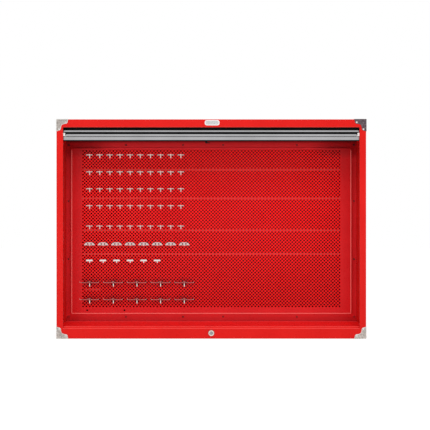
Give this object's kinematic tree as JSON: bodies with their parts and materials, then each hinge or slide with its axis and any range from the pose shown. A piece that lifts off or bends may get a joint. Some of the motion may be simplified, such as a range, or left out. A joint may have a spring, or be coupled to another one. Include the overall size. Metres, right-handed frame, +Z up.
{
  "type": "roller shutter tool case",
  "caption": "Shallow wall-mounted steel tool case with a perforated tool board, hook-in holders and a lockable roller shutter that winds up behind its top front flange.",
  "frame": {"origin": "middle of the footprint of the whole object, at its lowest point", "axes": "+X to the right as seen from the front, +Y from the open front to the wall, +Z up"},
  "size_m": [1.2024, 0.17, 0.8524],
  "materials": {
    "red_paint": "satin",
    "galvanised": "satin",
    "guard_steel": "satin",
    "anodised": "satin",
    "holder_chrome": "polished",
    "lock_nickel": "polished",
    "white_nylon": "matte",
    "black_rubber": "matte",
    "dark_web": "matte",
    "black_steel": "satin"
  },
  "bodies": {
    "case": {"top_panel": "red_paint", "bottom_panel": "red_paint", "back_panel": "red_paint", "left_side_panel": "red_paint", "right_side_panel": "red_paint", "tool_board": "red_paint", "board_stiffeners": "galvanised", "left_guide": "galvanised", "right_guide": "galvanised", "left_head_bracket": "galvanised", "right_head_bracket": "galvanised", "barrel_shaft": "galvanised", "torsion_spring": "galvanised", "lock_body": "lock_nickel", "lock_nut": "galvanised", "lower_left_corner_guard": "guard_steel", "lower_right_corner_guard": "guard_steel", "upper_left_corner_guard": "guard_steel", "upper_right_corner_guard": "guard_steel", "tool_clips_row_1": "holder_chrome", "tool_clips_row_2": "holder_chrome", "tool_clips_row_3": "holder_chrome", "tool_clips_row_4": "holder_chrome", "tool_clips_row_5": "holder_chrome", "ring_holders": "holder_chrome", "plate_holders": "holder_chrome", "wide_brackets_row_1": "holder_chrome", "wide_brackets_row_2": "holder_chrome"},
    "shutter": {"bottom_rail": "anodised", "rail_seal": "black_rubber", "latch_hook": "black_steel", "left_rail_block": "white_nylon", "right_rail_block": "white_nylon", "lower_web": "dark_web", "lower_slat": "anodised", "curtain_run": "anodised"},
    "barrel": {"barrel_tube": "galvanised", "left_barrel_cap": "galvanised", "right_barrel_cap": "galvanised", "coiled_web": "dark_web", "coiled_slats": "anodised"},
    "lock_core": {"lock_plug": "lock_nickel", "lock_cam": "galvanised", "cam_screw": "galvanised"}
  },
  "joints": [
    {"name": "shutter_slide", "type": "slide", "parent": "case", "child": "shutter", "axis": [0, 0, -1], "range_m": [0, 0.7195], "deforming": ["curtain_run"]},
    {"name": "barrel_turn", "type": "hinge", "parent": "case", "child": "barrel", "pos_m": [0, -0.0335, 0.8122], "axis": [1, 0, 0], "range_deg": [0, 1785]},
    {"name": "lock_turn", "type": "hinge", "parent": "case", "child": "lock_core", "pos_m": [0, -0.07, 0.0235], "axis": [0, -1, 0], "range_deg": [0, 90]}
  ],
  "couplings": [
    {"joint": "barrel_turn", "follows": "shutter_slide", "rad_per_m": 43.22}
  ]
}
